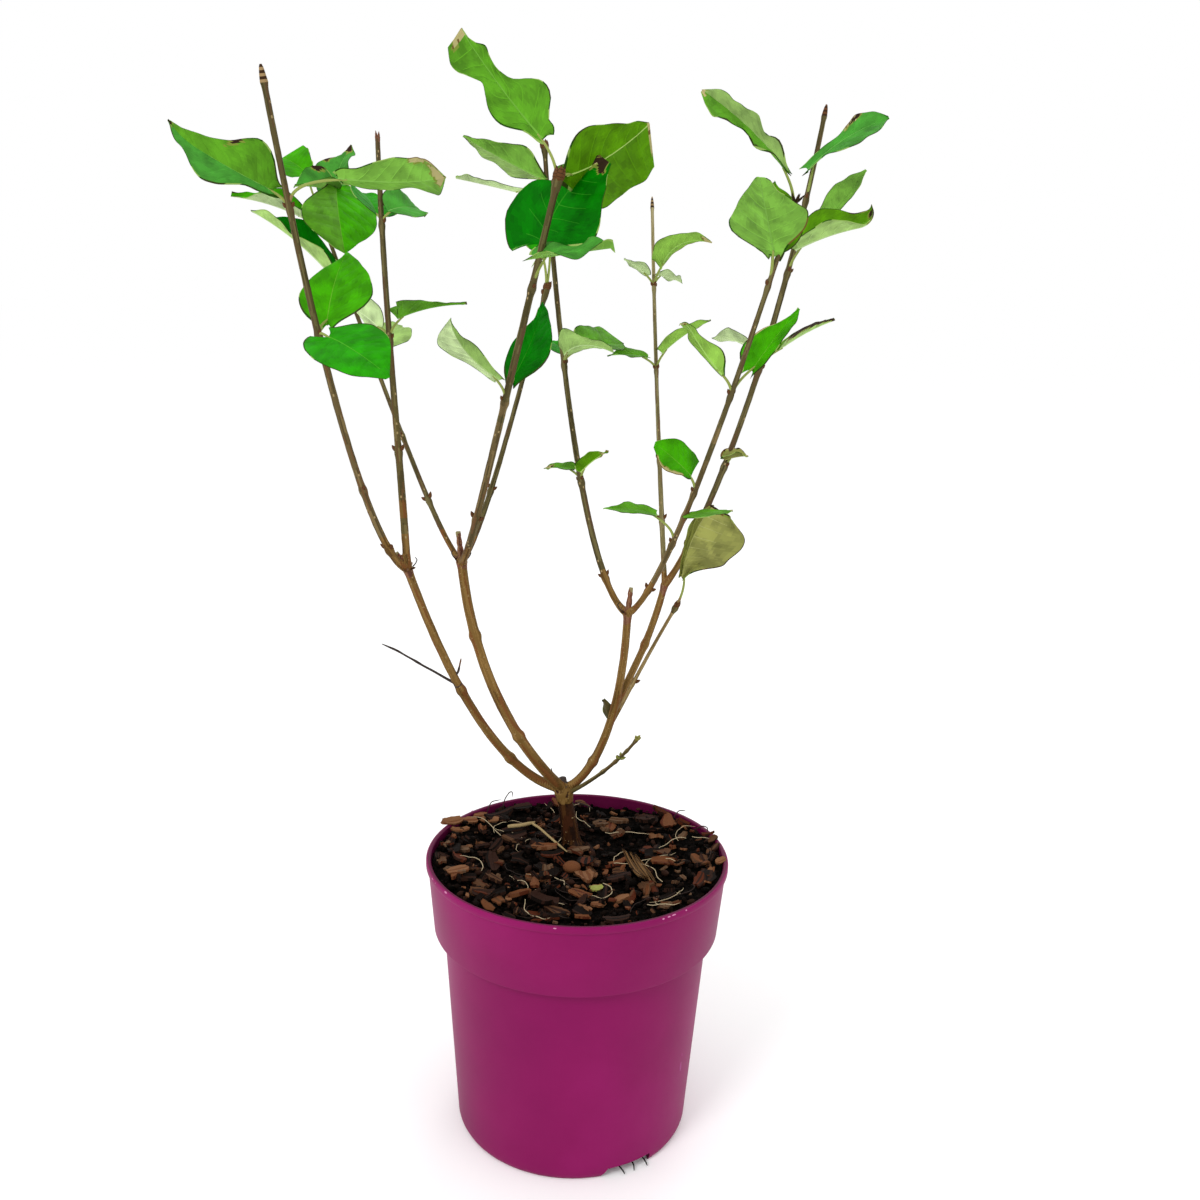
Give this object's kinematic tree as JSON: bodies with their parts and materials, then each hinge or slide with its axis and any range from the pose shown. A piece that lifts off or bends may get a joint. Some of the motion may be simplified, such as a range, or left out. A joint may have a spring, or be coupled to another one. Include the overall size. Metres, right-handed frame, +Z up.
{
  "type": "potted lilac bush",
  "caption": "Young lilac bush with slender forked boughs and sparse leafy shoots, growing in a round plastic nursery pot of bark compost.",
  "frame": {"origin": "centre of the pot's flat underside", "axes": "+Z up the plant, -Y towards the side it is seen from, +X to that viewer's right"},
  "size_m": [0.3628, 0.2576, 0.5824],
  "materials": {
    "pot_plastic": "satin magenta plastic",
    "compost": "moist peat compost with bark chips",
    "old_bark": "smooth tan bark",
    "young_bark": "grey brown to olive bark",
    "foliage": "green leaves with brown edges"
  },
  "bodies": {
    "root": {"pot": "pot_plastic", "compost": "compost", "trunk": "old_bark", "bough_left": "old_bark", "bough_centre_left": "old_bark", "bough_right": "old_bark", "bough_rear_right": "old_bark", "twig_crotch": "young_bark", "stem_far_left": "young_bark", "foliage_far_left": "foliage", "stem_left": "young_bark", "foliage_left": "foliage", "stem_rear_left": "young_bark", "foliage_rear_left": "foliage", "stem_centre": "young_bark", "foliage_centre": "foliage", "stem_rear_centre": "young_bark", "foliage_rear_centre": "foliage", "stem_inner_right": "young_bark", "foliage_inner_right": "foliage", "stem_right": "young_bark", "foliage_right": "foliage", "stem_rear_right": "young_bark", "foliage_rear_right": "foliage", "stem_far_right": "young_bark", "foliage_far_right": "foliage", "stem_short_right": "young_bark", "foliage_short_right": "foliage"}
  },
  "joints": []
}
